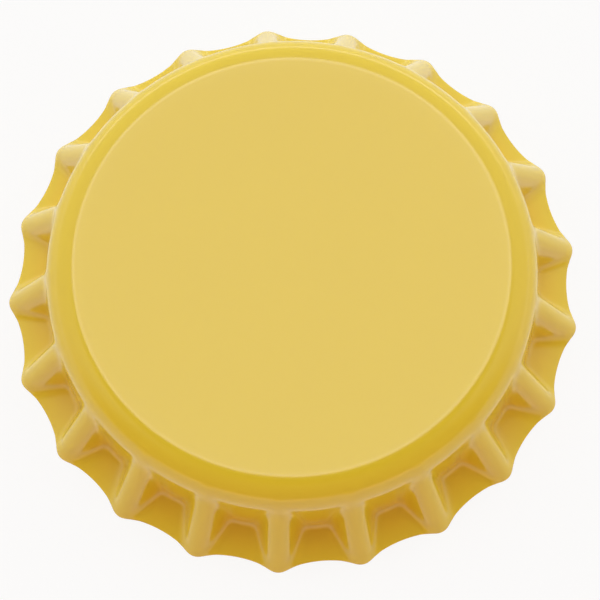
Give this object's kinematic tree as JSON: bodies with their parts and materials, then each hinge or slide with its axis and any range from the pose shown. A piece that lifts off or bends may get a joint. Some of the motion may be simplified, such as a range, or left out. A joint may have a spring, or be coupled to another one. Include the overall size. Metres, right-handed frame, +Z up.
{
  "type": "bottle cap",
  "caption": "Crown cap for a glass bottle: a pressed lacquered steel shell with a flat top and a flared ribbed skirt, and a moulded sealing liner inside.",
  "frame": {"origin": "on the cap's axis, in the plane of the rib tips that the cap stands on", "axes": "+Z up along the cap's axis, from the open rim to the top panel; +X through a rib"},
  "size_m": [0.0319, 0.032, 0.006],
  "materials": {
    "yellow_lacquer": "gloss",
    "liner_compound": "satin"
  },
  "bodies": {
    "root": {"crown_shell": "yellow_lacquer", "sealing_liner": "liner_compound"}
  },
  "joints": []
}
